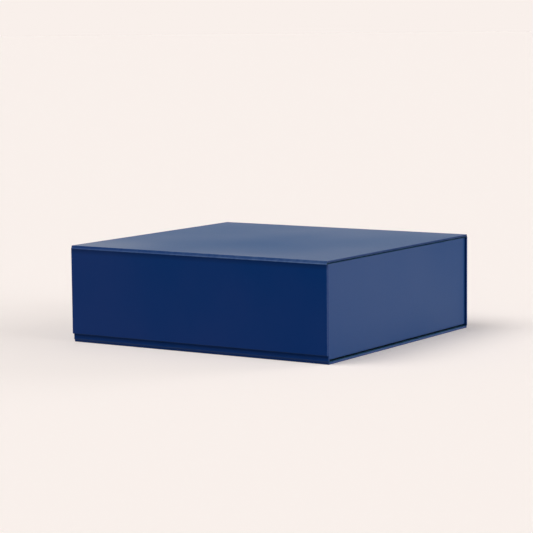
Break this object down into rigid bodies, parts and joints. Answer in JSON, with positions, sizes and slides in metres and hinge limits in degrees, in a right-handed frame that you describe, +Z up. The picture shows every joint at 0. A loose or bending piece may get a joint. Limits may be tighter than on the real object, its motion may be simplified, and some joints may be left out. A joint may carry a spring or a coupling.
{
  "type": "clamshell book box",
  "caption": "Square shallow storage box of paper-covered board; its lid turns up at the back and a magnetic flap closes over the front.",
  "frame": {"origin": "middle of the closed box's footprint, on the surface it stands on", "axes": "+Z up, -Y towards the front with the flap, +X to the right of someone facing the front"},
  "size_m": [0.337, 0.318, 0.11],
  "materials": {
    "covering_paper": "matte",
    "lining_paper": "matte",
    "greyboard": "matte",
    "magnet": "polished",
    "plate_steel": "satin"
  },
  "bodies": {
    "box": {"base_board": "greyboard", "base_covering": "covering_paper", "floor_lining": "lining_paper", "front_board": "greyboard", "front_covering": "covering_paper", "front_lining": "lining_paper", "spine_board": "greyboard", "spine_covering": "covering_paper", "spine_lining": "lining_paper", "left_board": "greyboard", "left_covering": "covering_paper", "left_lining": "lining_paper", "right_board": "greyboard", "right_covering": "covering_paper", "right_lining": "lining_paper", "base_back_crease": "covering_paper", "base_front_crease": "covering_paper", "catch_plates": "plate_steel", "foot_papers": "lining_paper", "corner_tabs": "lining_paper", "lid_crease": "covering_paper"},
    "lid": {"lid_board": "greyboard", "lid_covering": "covering_paper", "lid_lining": "lining_paper", "flap_crease": "covering_paper"},
    "flap": {"flap_board": "greyboard", "flap_covering": "covering_paper", "flap_lining": "lining_paper", "flap_magnets": "magnet"}
  },
  "joints": [
    {"name": "lid_hinge", "type": "hinge", "parent": "box", "child": "lid", "pos_m": [0, 0.1575, 0.11], "axis": [-1, 0, 0], "range_deg": [0, 195]},
    {"name": "flap_hinge", "type": "hinge", "parent": "lid", "child": "flap", "pos_m": [0, -0.159, 0.1065], "axis": [-1, 0, 0], "range_deg": [0, 200]}
  ]
}
